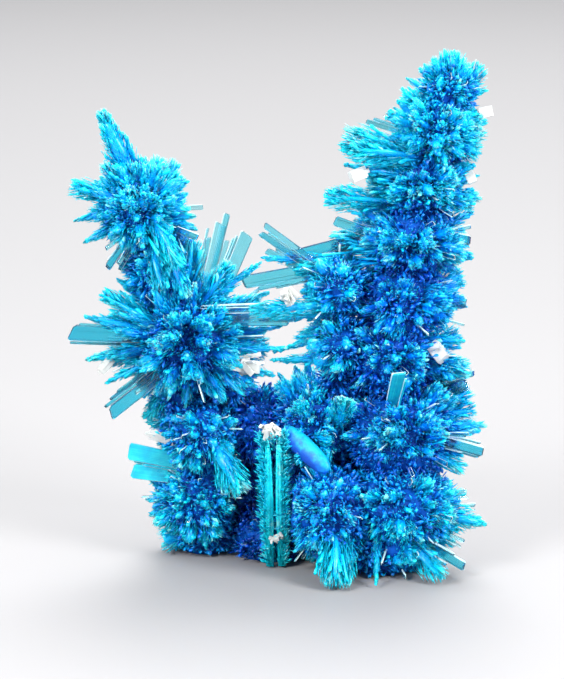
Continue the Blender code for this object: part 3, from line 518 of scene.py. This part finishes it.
def spray(chance, root, tip, width, thickness, form, tone):
    """The blades of one spray: a core crystal, and fine blades that lean out from it to fill the outline."""
    density, leans, lengths, widths, edges, core = LAY[form]
    shares, wide, thick = np.array(FORMS[form]).T
    axis, side, front = np.array(placing(root, tip))
    length = (tip - root).length
    count = int(density * length * (width + thickness) / 2)
    share = 1 - (1 - SPRAY_START) * chance.random(count) ** TIP_CROWDING
    angle = angles_round(chance, count, edges, EDGE_SCATTER)
    out = np.sqrt(chance.uniform(0.12, 1, count)) * (1 + chance.normal(0, 0.1, count))
    across = np.outer(np.cos(angle) * np.interp(share, shares, wide) * width / 2, side)
    across += np.outer(np.sin(angle) * np.interp(share, shares, thick) * thickness / 2, front)
    across *= out[:, None]
    lean = np.radians(chance.uniform(*leans, count)) * chance.uniform(*LEAN_RANGE)
    way = leaning(chance, axis, across, lean, chance.uniform(*WAY_SCATTER))
    long = chance.uniform(*lengths, count) * chance.uniform(*LENGTH_RANGE)
    long = np.minimum(long, np.linalg.norm(across, axis=1) / np.sin(lean) + 0.3)
    # A negative tone darkens the whole spray towards navy: painted shade.
    dark = PAINTED_HOLLOW_SHADE * min(tone, 0)
    made = np.zeros(count + 1, BLADE)
    fine, body = made[:-1], made[-1:]
    fine["tip"] = np.array(root) + np.outer(share * length, axis) + across
    fine["root"] = fine["tip"] - way * long[:, None]
    fine["width"] = widths[0] + (widths[1] - widths[0]) * chance.random(count) ** 2
    fine["width"] += (chance.random(count) < CHUNKS) * chance.uniform(*CHUNK_EXTRA, count)
    fine["thick"] = fine["width"] * chance.uniform(0.3, 0.7, count)
    # Painted light and shade: paler towards the spray's tip and outside, with a few painted glints; each
    # blade darker at its root.
    fine["high"] = SHADE + SHADE_ALONG * share + SHADE_OUTWARD * (out - 0.8)
    fine["high"] += chance.normal(0, 0.04, count) + dark
    fine["high"] += GLINT_SHADE * (chance.random(count) < GLINTS)
    fine["low"] = fine["high"] - chance.uniform(0.05, 0.25, count)
    body["root"] = root
    body["tip"] = np.array(root) + axis * length * 0.96
    body["width"] = width * core
    body["thick"] = thickness * core
    # The core is darker at its root: painted shade.
    body["low"], body["high"], body["kind"] = 0.3, 0.75 + dark, CORE
    made["tone"] = tone + chance.normal(0, 0.1) + chance.normal(0, 0.05, count + 1)
    return made


def druse(chance, middle, core, tone):
    """Short blades all over a heart, which show in the gaps between its sprays, dark navy as painted shade
    there.
    """
    radii = np.array(core)
    count = int(DRUSE_DENSITY * 4 * math.pi * (radii ** 2).mean())
    way = unit(chance.normal(0, 1, (count, 3)))
    out = unit(way / radii + chance.normal(0, 0.25, (count, 3)))
    made = np.zeros(count, BLADE)
    made["root"] = np.array(seen(*middle)) + way * radii * HEART_SHARE * DRUSE_DEPTH
    made["tip"] = made["root"] + out * chance.uniform(0.5, 1.7, count)[:, None]
    made["width"] = chance.uniform(0.14, 0.36, count)
    made["thick"] = made["width"] * chance.uniform(*FLATNESS, count)
    made["high"] = chance.uniform(0.2, 0.6, count) + PAINTED_HOLLOW_SHADE / 2 * min(tone, 0)
    made["low"] = 0.05
    made["tone"] = tone + chance.normal(0, 0.08, count)
    return made


def before_pillar(points):
    """Which points are in the space kept clear before the pillar."""
    low, high = np.array(PILLAR_CLEARING)
    points = np.asarray(points)
    return ((points > low) & (points < high)).all(axis=-1)


def kept_blades(node, blades):
    """The blades that show: above the surface, not buried in a heart of the node, not before the pillar."""
    tips = blades["tip"]
    keep = np.minimum(tips[:, 2], blades["root"][:, 2]) > LOWEST
    for _, heart in hearts_of(node):
        far = np.linalg.norm((tips - np.array(seen(*heart.middle))) / heart.core, axis=1)
        keep &= far > HEART_SHARE
    if node == BASE:
        keep &= ~before_pillar(tips)
    return blades[keep]


def bottlebrush(chance):
    """The upright pillar: two bundles of crystals with a dark seam between them, and bristles round them."""
    ends = [seen(*end) for end in PILLAR]
    root, tip = np.array(ends)
    axis, side, front = np.array(placing(*ends))
    bodies = np.zeros(2 * len(PILLAR_HALF), BLADE)
    halves = [(way, *row) for way in (-1, 1) for row in PILLAR_HALF]
    for body, (way, shift, wide, reach) in zip(bodies, halves):
        body["root"] = root + side * way * shift * PILLAR_WIDTH
        body["tip"] = body["root"] + (tip - root) * reach
        body["width"] = body["thick"] = PILLAR_WIDTH * wide
    # Pale, nearly even cyan: painted light that lifts the pillar out of the shade it stands in.
    bodies["low"], bodies["high"], bodies["tone"], bodies["kind"] = 0.85, 0.97, 1, CORE
    share = chance.uniform(0, 1, BRISTLES)
    angle = angles_round(chance, BRISTLES, BRISTLE_EDGES, BRISTLE_SCATTER)
    on_front = np.abs(np.sin(angle)) > FRONT_SINE
    girth = np.interp(share, *PILLAR_GIRTH)
    lean = np.radians(chance.uniform(20, 65, BRISTLES))
    foot = np.outer(np.cos(angle) * BRISTLE_ROOTS[0] * girth * PILLAR_WIDTH, side)
    foot += np.outer(np.sin(angle) * BRISTLE_ROOTS[1] * girth * PILLAR_WIDTH, front)
    way = leaning(chance, axis, foot, lean, 0.15)
    reach = np.where(on_front, FRONT_REACH, SIDE_REACH)[:, None]
    made = np.zeros(BRISTLES, BLADE)
    made["root"] = root + np.outer(share * np.linalg.norm(tip - root), axis) + foot * 0.9
    made["tip"] = made["root"] + way * reach * chance.uniform(0.6, 1.3, (BRISTLES, 1))
    made["width"] = chance.uniform(0.1, 0.28, BRISTLES)
    made["thick"] = made["width"] * chance.uniform(*FLATNESS, BRISTLES)
    # Pale cyan bristles, darker at the root: painted light and shade.
    made["high"] = chance.uniform(0.8, 1, BRISTLES)
    made["low"] = made["high"] - 0.2
    made["tone"] = chance.normal(0.95, 0.1, BRISTLES)
    bare = on_front & (np.sin(angle) * front[1] < 0) & (share < BARE_HEIGHT)
    bare &= chance.random(BRISTLES) < BARE_SHARE
    return np.concatenate([bodies, made[~bare]])


def grown_sprays(node):
    """All the fine blades of a node."""
    chance = np.random.default_rng(SEED)
    found = [druse(chance, *ball) for ball in balls_of(node)]
    for number, heart in hearts_of(node):
        centre = seen(*heart.middle)
        for tip in heart_points(number):
            root = centre + (tip - centre) * (ROOT_DEPTH / max(inside(tip, centre, heart.core), 1))
            form, share = BURSTS[int(chance.choice(len(BURSTS), p=BURST_CHANCES))]
            width = BURST_WIDTH[heart.level] * share * chance.uniform(0.7, 1.3)
            # Painted shade only on the front of a ball with a negative tone.
            tone = BACK_TONE if heart.tone < 0 and tip.y > centre.y else heart.tone
            found.append(spray(chance, root, tip, width, width * chance.uniform(0.6, 1), form, tone))
    for form, root, tip, *size, tone in SPRAYS[node]:
        root, tip = seen(*root), seen(*tip)
        found.append(spray(chance, outer_root(node, root, tip), tip, *size, form, tone))
    grown = kept_blades(node, np.concatenate(found))
    grown["kind"][(grown["kind"] == FINE) & (grown["width"] > STOUT_WIDTH)] = STOUT
    if node == BASE:
        grown = np.concatenate([grown, bottlebrush(chance)])
    return grown


def blade_shape(sides, rings, point_at_root):
    """A blade of so many sides: (along, across, through, slant) of each vertex, and its triangles.

    Its rings are (share of its length, share of its width), and slant is 1 at its point, which shifts.
    """
    turns = [2 * math.pi * (i + 0.5) / sides for i in range(sides)]
    corners = [(math.cos(a) / 2, math.sin(a) / 2) for a in turns]
    if sides == 4:
        corners = [(math.copysign(0.5, x), math.copysign(0.5, y)) for x, y in corners]
    verts = [(along, size * x, size * y, 0) for along, size in rings for x, y in corners]
    faces = []
    for ring in range(len(rings) - 1):
        low, high = sides * ring, sides * (ring + 1)
        for i in range(sides):
            j = (i + 1) % sides
            faces += [(low + i, low + j, high + j), (low + i, high + j, high + i)]
    top = sides * (len(rings) - 1)
    verts.append((1, 0, 0, 1))
    faces += [(top + i, top + (i + 1) % sides, len(verts) - 1) for i in range(sides)]
    if point_at_root:
        verts.append((0, 0, 0, 0))
        faces += [((i + 1) % sides, i, len(verts) - 1) for i in range(sides)]
    else:
        faces += [(0, i + 1, i) for i in range(1, sides - 1)]
    return np.array(verts), np.array(faces)


def blade_mesh(name, blades, shape, chance):
    """One mesh object of many blades of one shape, with the shade and tone of each point."""
    (along, across, through, slant), faces = shape[0].T, shape[1]
    count, points = len(blades), len(along)
    axis = unit(blades["tip"] - blades["root"])
    side = unit(np.cross(axis, unit(chance.normal(0, 1, (count, 3)))))
    front = np.cross(axis, side)
    shift = chance.uniform(-POINT_SHIFT, POINT_SHIFT, count) * blades["width"]
    offset = np.outer(blades["width"], across) + np.outer(shift, slant)
    place = blades["root"][:, None] + (blades["tip"] - blades["root"])[:, None] * along[None, :, None]
    place = place + side[:, None] * offset[..., None]
    place = place + front[:, None] * np.outer(blades["thick"], through)[..., None]
    place[..., 2] = np.maximum(place[..., 2], 0)
    triangles = (faces[None] + points * np.arange(count)[:, None, None]).reshape(-1, 3)
    mesh = bpy.data.meshes.new(name)
    mesh.vertices.add(count * points)
    mesh.vertices.foreach_set("co", (place * MM).astype(np.float32).ravel())
    mesh.loops.add(triangles.size)
    mesh.loops.foreach_set("vertex_index", triangles.astype(np.int32).ravel())
    mesh.polygons.add(len(triangles))
    mesh.polygons.foreach_set("loop_start", np.arange(0, triangles.size, 3, dtype=np.int32))
    mesh.update(calc_edges=True)
    shade = blades["low"][:, None] + np.outer(blades["high"] - blades["low"], along)
    tone = np.repeat(blades["tone"], points)
    for label, values in (("shade", shade.ravel()), ("tone", tone)):
        layer = mesh.attributes.new(label, "FLOAT", "POINT")
        layer.data.foreach_set("value", values.astype(np.float32))
    return new_object(name, mesh)


def spray_pieces(node):
    """The fine blades of a node as mesh objects, each under the limit of triangles."""
    blades = grown_sprays(node)
    chance = np.random.default_rng(SEED + 1)
    made = []
    for kind, (label, shape) in enumerate(SHAPES):
        those = blades[blades["kind"] == kind]
        parts = math.ceil(len(those) * len(shape[1]) / PIECE_TRIANGLES)
        for i, part in enumerate(np.array_split(those, parts)):
            made.append(blade_mesh(f"{node}_{label}_{i + 1}", part, shape, chance))
    return made


def clear_ring(width, thickness, chamfer):
    """The corners of a flat crystal's cross-section, with its edges taken off, anticlockwise."""
    x, y, c = width / 2, thickness / 2, chamfer
    half = [(-x + c, -y), (x - c, -y), (x, -y + c), (x, y - c)]
    return half + [(-a, -b) for a, b in half]


def add_clear_blade(bm, chance, root, tip, width, thickness, roll):
    """Adds one flat see-through crystal with fine bevelled edges and a slanted end to a bmesh, in metres."""
    axis, side, front = placing(root, tip)
    turn = Matrix.Rotation(roll, 3, axis)
    side, front = turn @ side, turn @ front
    length = (tip - root).length
    slant = chance.uniform(-0.5, 0.5) * width
    chamfer = min(CLEAR_CHAMFER, thickness * 0.3)
    streak = bm.verts.layers.float.get("streak") or bm.verts.layers.float.new("streak")
    start = chance.uniform(0, 100)
    rings = []
    for share, short, wide, thick in CLEAR_RINGS:
        ring = []
        for x, y in clear_ring(width * wide, thickness * thick, chamfer * thick):
            end = length - abs(slant) / 2 + slant * x / width
            reach = share * (end - thickness * short)
            ring.append(bm.verts.new((root + axis * reach + side * x + front * y) * MM))
            ring[-1][streak] = start + x
        rings.append(ring)
    bm.faces.new(list(reversed(rings[0])))
    # The end and the bevelled edges take the second material: frosted, with painted glints.
    bm.faces.new(rings[-1]).material_index = 1
    for i, face in join_rings(bm, rings):
        face.material_index = i in FROSTED_GLINT_FACES


def add_clear_teeth(bm, chance, node, density):
    """Adds the small see-through blades that stand here and there among the sprays of a node."""
    for number, heart in hearts_of(node):
        centre = seen(*heart.middle)
        for _ in range(int(density * sum(r * r for r in heart.core))):
            way = Vector([chance.gauss(0, 1) for _ in range(3)]).normalized()
            root = centre + way * Vector(heart.core)
            tip = centre + way * Vector(heart.reach) * chance.uniform(0.88, 1.02)
            if has_room(number, tip) and not (node == BASE and before_pillar(tip)):
                width, thickness = chance.uniform(0.25, 0.55), chance.uniform(0.12, 0.24)
                add_clear_blade(bm, chance, root, tip, width, thickness, chance.uniform(0, math.pi))


def flat_crystals(node, label, rows, lath_width, teeth):
    """Flat crystals of a node, each of laths side by side, with its small see-through blades."""
    chance = random.Random(SEED)
    bm = bmesh.new()
    add_clear_teeth(bm, chance, node, teeth)
    for root, tip, width, thickness in rows:
        root, tip = seen(*root), seen(*tip)
        root = outer_root(node, root, tip)
        _, side, front = placing(root, tip)
        laths = max(1, round(width / lath_width))
        cuts = sorted(chance.uniform(0, width) for _ in range(laths - 1))
        strips = list(zip((0, *cuts), (*cuts, width)))
        widest = max(strips, key=lambda strip: strip[1] - strip[0])
        for left, right in strips:
            middle = (left + right - width) / 2
            offset = side * middle + front * chance.uniform(-0.3, 0.3) * thickness
            reach = 1 if (left, right) == widest else chance.uniform(0.6, 0.98)
            end = root.lerp(tip, reach) + side * middle * LATH_SPREAD
            wide, thick = max(right - left, 0.25) * 1.05, thickness * chance.uniform(0.35, 0.8)
            roll = chance.uniform(-0.12, 0.12)
            add_clear_blade(bm, chance, root + offset, end + offset, wide, thick, roll)
    bmesh.ops.triangulate(bm, faces=bm.faces[:])
    return mesh_object(node + label, bm)


def oval_crystal():
    """The smooth oval crystal; each point keeps how far across it is, from -1 to 1."""
    root, tip = (seen(*end) for end in OVAL)
    _, side, front = placing(root, tip)
    bm = bmesh.new()
    across = bm.verts.layers.float.new("across")
    rings = []
    for i in range(1, OVAL_RINGS):
        along = -math.cos(math.pi * i / OVAL_RINGS)
        rest = max(abs(along) - OVAL_FULL, 0) / (1 - OVAL_FULL)
        size = (1 - rest ** OVAL_BOXY) ** (1 / OVAL_BOXY)
        middle = root.lerp(tip, (along + 1) / 2)
        ring = []
        for k in range(OVAL_SIDES):
            turn = 2 * math.pi * (k + 0.5) / OVAL_SIDES
            x, y = math.cos(turn), math.sin(turn)
            stretch = size / (abs(x) ** OVAL_BOXY + abs(y) ** OVAL_BOXY) ** (1 / OVAL_BOXY)
            place = middle + side * x * stretch * OVAL_WIDTH / 2 + front * y * stretch * OVAL_THICKNESS / 2
            ring.append(bm.verts.new(place * MM))
            ring[-1][across] = x * stretch
        rings.append(ring)
    join_rings(bm, rings)
    for ring, end in ((rings[0][::-1], root), (rings[-1], tip)):
        point = bm.verts.new(end * MM)
        for k in range(OVAL_SIDES):
            bm.faces.new((ring[k - 1], ring[k], point))
    for face in bm.faces:
        face.smooth = True
    return mesh_object(BASE + "_smooth_crystals", bm)


def white_blocks(node, word, root, tip, width):
    """A white crystal: a blunt block with smaller stepped blocks grown on it."""
    chance = random.Random(node)
    count, scale, spread, turns = CLUSTER_BLOCKS if word in CLUSTERED else PLAIN_BLOCKS
    root, tip = seen(*root), seen(*tip)
    axis, side, front = placing(root, tip)
    length, thickness = (tip - root).length, width * WHITE_FLATNESS
    bm = bmesh.new()
    for i in range(1 + count):
        wide, long = (chance.uniform(*STEP_WIDTH), chance.uniform(*STEP_LENGTH)) if i else MAIN_BLOCK
        size = Vector((width * wide * scale, thickness * wide * scale, length * long))
        middle = root + axis * chance.uniform(0.3, 0.75) * length
        middle += side * chance.uniform(-spread, spread) * width
        middle += front * chance.uniform(-spread, spread) * thickness
        if i == 0:
            middle = root.lerp(tip, 0.5)
        turn = Euler([chance.uniform(-1, 1) * (turns if i else MAIN_TURN) for _ in range(3)]).to_matrix()
        facing = (Matrix((side, front, axis)).transposed() @ turn).to_4x4()
        matrix = Matrix.Translation(middle) @ facing @ Matrix.Diagonal((*size, 1))
        block = bmesh.ops.create_cube(bm, size=1, matrix=matrix)["verts"]
        if word in POINTED:
            end = middle + axis * size.z / 2
            for v in block:
                if (v.co - middle).dot(axis) > 0:
                    v.co = end + (v.co - end) * POINT_SIZE
        edges = list({e for v in block for e in v.link_edges})
        bmesh.ops.bevel(bm, geom=edges, offset=0.05, segments=2, profile=0.6, affect="EDGES")
    bmesh.ops.scale(bm, vec=(MM,) * 3, verts=bm.verts)
    bmesh.ops.triangulate(bm, faces=bm.faces[:])
    return mesh_object(node + "_blocks", bm)


def material_of(surface):
    """A material named after the function that gives the inputs of its Principled shader."""
    made = bpy.data.materials.new(surface.__name__)
    made.use_nodes = True
    fill(made.node_tree.nodes["Principled BSDF"], surface(made.node_tree))
    return made


def fill(node, inputs):
    """Fills in a node's inputs, each with a value or with another node's output."""
    for key, value in inputs.items():
        if isinstance(value, bpy.types.NodeSocket):
            node.id_data.links.new(value, node.inputs[key])
        else:
            node.inputs[key].default_value = value


def add_node(tree, kind, inputs, **settings):
    """A node in a tree, with its properties set and its inputs filled in."""
    made = tree.nodes.new(kind)
    for key, value in settings.items():
        setattr(made, key, value)
    fill(made, inputs)
    return made


def attribute(tree, name):
    """A number that each vertex keeps."""
    return add_node(tree, "ShaderNodeAttribute", {}, attribute_name=name).outputs["Fac"]


def noise_of(tree, scale, detail=3, roughness=0.55):
    """Noise over the object's own coordinates, with so many features to the metre."""
    place = add_node(tree, "ShaderNodeTexCoord", {}).outputs["Object"]
    inputs = {"Vector": place, "Scale": scale, "Detail": detail, "Roughness": roughness}
    return add_node(tree, "ShaderNodeTexNoise", inputs).outputs["Fac"]


def streaks_of(tree):
    """Noise in streaks along a flat crystal."""
    inputs = {"W": attribute(tree, "streak"), "Scale": STREAKS}
    return add_node(tree, "ShaderNodeTexNoise", inputs, noise_dimensions="1D").outputs["Fac"]


def maths(tree, operation, *values, clamp=False):
    """A Math node's result; its values are numbers or sockets."""
    inputs = dict(enumerate(values))
    return add_node(tree, "ShaderNodeMath", inputs, operation=operation, use_clamp=clamp).outputs[0]


def varied(tree, scale, spread, lowest):
    """A value that noise varies, from the lowest up."""
    return maths(tree, "MULTIPLY_ADD", noise_of(tree, scale), spread, lowest)


def ramp(tree, factor, stops):
    """A colour ramp of (position, linear colour) stops."""
    made = add_node(tree, "ShaderNodeValToRGB", {"Fac": factor})
    elements = made.color_ramp.elements
    while len(elements) < len(stops):
        elements.new(0.5)
    for element, (position, colour) in zip(elements, stops):
        element.position = position
        element.color = (*colour, 1)
    return made.outputs["Color"]


def mixed(tree, factor, a, b):
    """Two colours mixed by a factor."""
    inputs = {"Factor": factor, COLOUR_A: a, COLOUR_B: b}
    return add_node(tree, "ShaderNodeMix", inputs, data_type="RGBA").outputs[MIXED_COLOUR]


def bump(tree, height, strength, distance):
    """The normals of a surface with a relief."""
    inputs = {"Height": height, "Strength": strength, "Distance": distance}
    return add_node(tree, "ShaderNodeBump", inputs).outputs["Normal"]


def fine_blades(tree):
    """Fine blades, a little see-through: navy roots (painted shade) through azure to bright cyan tips
    (painted light).
    """
    patches = noise_of(tree, 420)
    grains = noise_of(tree, 2600)
    shade = maths(tree, "MULTIPLY_ADD", patches, 0.5, attribute(tree, "shade"))
    shade = maths(tree, "MULTIPLY_ADD", grains, 0.1, shade)
    shade = maths(tree, "SUBTRACT", shade, 0.3, clamp=True)
    tone = maths(tree, "MULTIPLY_ADD", patches, 0.4, attribute(tree, "tone"))
    tone = maths(tree, "SUBTRACT", tone, 0.2, clamp=True)
    return {
        "Base Color": mixed(tree, tone, ramp(tree, shade, DEEP_BLUE), ramp(tree, shade, BRIGHT_CYAN)),
        "Roughness": varied(tree, 900, 0.4, 0.1),
        "IOR": PENTAGONITE_IOR,
        "Transmission Weight": 0.22,
        "Subsurface Weight": 0.7,
        "Subsurface Radius": (1, 1, 1),
        "Subsurface Scale": 0.4 * MM,
        "Specular IOR Level": 0.25,
        "Normal": bump(tree, grains, 0.25, 0.04 * MM),
    }


def dark_heart(tree):
    """The dark middle seen in the gaps: deep navy, painted shade for those gaps, half glossy and grainy."""
    return {
        "Base Color": ramp(tree, noise_of(tree, 700), HEART_SHADE_BLUES),
        "Roughness": varied(tree, 1500, 0.4, 0.4),
        "Specular IOR Level": 0.1,
        "Normal": bump(tree, noise_of(tree, 1800), 0.8, 0.15 * MM),
    }


def frosted_edge_glint(tree):
    """The fine edges of a see-through blade: frosted white, a painted glint along the edges."""
    return {
        "Base Color": ramp(tree, noise_of(tree, 900), EDGE_GLINT_WHITES),
        "Roughness": 0.35,
        "IOR": 1.2,
        "Transmission Weight": 0.4,
    }


def clear_blade(tree):
    """See-through blades: clear with a teal body colour, and fine streaks along them."""
    inputs = {"Color": (*CLEAR_COLOUR, 1), "Density": 5000}
    body = add_node(tree, "ShaderNodeVolumeAbsorption", inputs)
    fill(tree.nodes["Material Output"], {"Volume": body.outputs["Volume"]})
    return {
        "Base Color": (1, 1, 1, 1),
        "Roughness": varied(tree, 1200, 0.12, 0),
        "IOR": PENTAGONITE_IOR,
        "Transmission Weight": 1,
        "Normal": bump(tree, streaks_of(tree), 0.6, 0.05 * MM),
    }


def glassy_crystal(tree):
    """The smooth oval crystal: glossy, blue at one side and cyan at the other, partly see-through."""
    cloud = noise_of(tree, 900, 5, 0.7)
    side = maths(tree, "MULTIPLY_ADD", attribute(tree, "across"), ACROSS_SHARE, cloud)
    return {
        "Base Color": ramp(tree, side, GLASSY_BLUES),
        "Roughness": varied(tree, 1200, 0.5, 0.25),
        "IOR": PENTAGONITE_IOR,
        "Transmission Weight": 0.35,
        "Specular IOR Level": 0.15,
        "Normal": bump(tree, noise_of(tree, 1100, 4), 0.6, 0.12 * MM),
    }


def cloudy_plate(tree):
    """Cloudy plates: pale teal to blue, frosted, with streaks."""
    cloud = maths(tree, "MULTIPLY", streaks_of(tree), 0.4)
    cloud = maths(tree, "MULTIPLY_ADD", noise_of(tree, 700), 0.6, cloud)
    return {
        "Base Color": ramp(tree, cloud, PLATE_BLUES),
        "Roughness": varied(tree, 900, 0.4, 0.15),
        "IOR": PENTAGONITE_IOR,
        "Transmission Weight": 0.25,
        "Normal": bump(tree, cloud, 0.6, 0.15 * MM),
    }


def white_crystal(tree):
    """The white zeolite: cream, pearly, a little cloudy."""
    return {
        "Base Color": ramp(tree, noise_of(tree, 800), WHITES),
        "Roughness": varied(tree, 1500, 0.3, 0.2),
        "IOR": 1.5,
        "Transmission Weight": 0.08,
        "Normal": bump(tree, noise_of(tree, 1500), 0.15, 0.04 * MM),
    }


def floor(_):
    """The floor: plain and pale."""
    return {"Base Color": (*FLOOR_COLOUR, 1), "Roughness": 0.6}


def add_camera():
    """The camera at the photograph's viewing angle."""
    data = bpy.data.cameras.new("camera")
    data.lens = 160
    data.sensor_width = 36
    data.clip_start = 0.01
    data.clip_end = 10
    camera = new_object("camera", data)
    back = Vector((0, -math.cos(VIEW_ELEVATION), math.sin(VIEW_ELEVATION)))
    camera.location = Vector((0, 0, CAMERA_AIM)) * MM + back * CAMERA_DISTANCE * MM
    camera.rotation_euler = back.to_track_quat("Z", "Y").to_euler()
    bpy.context.scene.camera = camera


def add_light(name, place, size, energy):
    """A square soft light, aimed at the middle of the piece."""
    data = bpy.data.lights.new(name, "AREA")
    data.size = size
    data.energy = energy
    made = new_object(name, data)
    made.location = place
    made.rotation_euler = (Vector(place) - Vector(LIGHT_AIM)).to_track_quat("Z", "Y").to_euler()


def add_floor():
    """The plain pale floor, just below the piece."""
    bm = bmesh.new()
    matrix = Matrix.Translation((0, 0, -FLOOR_GAP))
    bmesh.ops.create_grid(bm, x_segments=1, y_segments=1, size=12, matrix=matrix)
    grid = mesh_object("floor", bm)
    grid.data.materials.append(material_of(floor))


def add_world():
    """The even light all round."""
    world = bpy.data.worlds.new("studio")
    world.use_nodes = True
    inputs = {"Color": (*WORLD_COLOUR, 1), "Strength": 0.55}
    fill(world.node_tree.nodes["Background"], inputs)
    bpy.context.scene.world = world


def place_piece(piece, material):
    """Gives a piece its material and the body it rides on."""
    piece.data.materials.append(material)
    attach(piece, "root")


def main():
    """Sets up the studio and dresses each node."""
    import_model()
    add_camera()
    add_world()
    add_floor()
    for light in LIGHTS:
        add_light(*light)
    bpy.context.scene.view_settings.view_transform = "Standard"

    blades, hearts, plates, clear, glassy, edges, white = map(material_of, (
        fine_blades, dark_heart, cloudy_plate, clear_blade, glassy_crystal, frosted_edge_glint, white_crystal))
    for node in (BASE, LEFT, RIGHT):
        heart = fused_hearts(node)
        place_piece(heart, hearts)
        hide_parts(node)
        for piece in spray_pieces(node):
            place_piece(piece, blades)
        single = [(flat_crystals(node, "_clear_blades", BLADES[node], BLADE_LATH, CLEAR_TEETH), clear)]
        if node == BASE:
            single.append((flat_crystals(node, "_cloudy_plates", PLATES, PLATE_LATH, 0), plates))
            single.append((oval_crystal(), glassy))
        for piece, material in single:
            place_piece(piece, material)
            piece.data.materials.append(edges)
    for row in WHITE:
        node = "white_crystal_" + row[0]
        blocks = white_blocks(node, *row)
        place_piece(blocks, white)
        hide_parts(node)


# The shapes of the fine blades by their kind: FINE, STOUT and CORE.
SHAPES = (
    ("fine", blade_shape(3, ((0.78, 1),), True)),
    ("stout", blade_shape(4, ((0, 0.6), (0.84, 1)), False)),
    ("cores", blade_shape(6, ((0, 0.6), (0.45, 1), (0.8, 0.6)), False)),
)
main()
